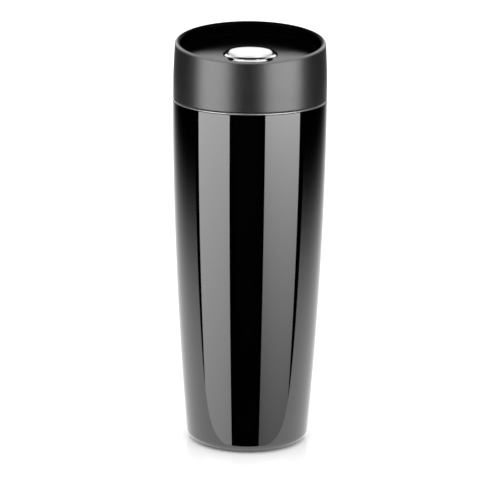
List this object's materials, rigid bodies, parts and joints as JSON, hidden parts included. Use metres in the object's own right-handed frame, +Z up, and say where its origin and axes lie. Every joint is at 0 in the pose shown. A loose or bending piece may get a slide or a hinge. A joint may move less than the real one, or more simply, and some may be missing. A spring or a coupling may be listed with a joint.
{
  "type": "insulated tumbler with lid",
  "caption": "Vacuum-walled steel travel tumbler, tapered, with a screw-on lid whose slanted rim surrounds a push button that opens a ring valve, for drinking over the low side.",
  "frame": {"origin": "centre of the base, on the surface the tumbler stands on", "axes": "+Z up along the tumbler's axis; -Y is the drinker's side, where the slanted rim is lowest"},
  "size_m": [0.08, 0.08, 0.2167],
  "materials": {
    "lacquer": "high-gloss black lacquer on steel",
    "vessel_steel": "satin stainless steel",
    "ring_steel": "polished stainless steel",
    "plate_steel": "bare stainless steel, hidden",
    "braze": "brazing alloy, hidden",
    "getter_alloy": "pressed gas-absorbing alloy, hidden",
    "clip_steel": "bare stainless steel, hidden",
    "pad_silicone": "matt non-slip silicone",
    "gasket_silicone": "soft matt silicone",
    "sleeve_plastic": "satin anthracite, slightly soft to the touch",
    "dish_plastic": "gloss black",
    "plug_plastic": "moulded black",
    "dish_silicone": "soft matt silicone",
    "bezel_chrome": "bright chrome",
    "wiper_silicone": "soft matt silicone",
    "housing_plastic": "moulded black",
    "stem_silicone": "soft matt silicone",
    "spring_steel": "bright stainless spring wire",
    "cap_satin": "satin silver-white",
    "plunger_plastic": "moulded black",
    "screw_steel": "bright stainless steel",
    "stem_steel": "bright stainless steel",
    "disc_plastic": "moulded black",
    "valve_silicone": "soft matt silicone",
    "knob_plastic": "moulded black",
    "cam_plastic": "natural low-friction plastic"
  },
  "bodies": {
    "mug": {"outer_shell": "lacquer", "inner_vessel": "vessel_steel", "mouth_ring": "ring_steel", "base_plate": "plate_steel", "vacuum_seal_bead": "braze", "getter_capsule": "getter_alloy", "getter_clip": "clip_steel", "base_pad": "pad_silicone"},
    "lid_seal": {"lid_gasket": "gasket_silicone"},
    "lid": {"lid_sleeve": "sleeve_plastic", "lid_dish": "dish_plastic", "plug_body": "plug_plastic", "dish_seal": "dish_silicone", "button_bezel": "bezel_chrome", "button_wiper": "wiper_silicone", "mechanism_housing": "housing_plastic", "stem_seal": "stem_silicone", "return_spring": "spring_steel"},
    "button": {"button_cap": "cap_satin", "plunger": "plunger_plastic", "stem_screw": "screw_steel", "valve_stem": "stem_steel", "valve_disc": "disc_plastic", "valve_gasket": "valve_silicone", "valve_knob": "knob_plastic"},
    "cam": {"cam_ring": "cam_plastic"}
  },
  "joints": [
    {"name": "lid_lift", "type": "slide", "parent": "mug", "child": "lid_seal", "axis": [0, 0, 1], "range_m": [0, 0.04]},
    {"name": "lid_turn", "type": "hinge", "parent": "lid_seal", "child": "lid", "pos_m": [0, 0, 0.1829], "axis": [0, 0, 1], "range_deg": [0, 1200]},
    {"name": "button_press", "type": "slide", "parent": "lid", "child": "button", "axis": [0, 0, -1], "range_m": [0, 0.005], "stiffness_N_per_m": 300, "springref_m": -0.01, "deforming": ["return_spring"]},
    {"name": "cam_turn", "type": "hinge", "parent": "button", "child": "cam", "pos_m": [0, 0, 0.1904], "axis": [0, 0, 1], "range_deg": [0, 60]}
  ],
  "couplings": [
    {"joint": "lid_lift", "follows": "lid_turn", "m_per_rad": 0.0019098},
    {"joint": "cam_turn", "follows": "button_press", "rad_per_m": 209.43}
  ]
}
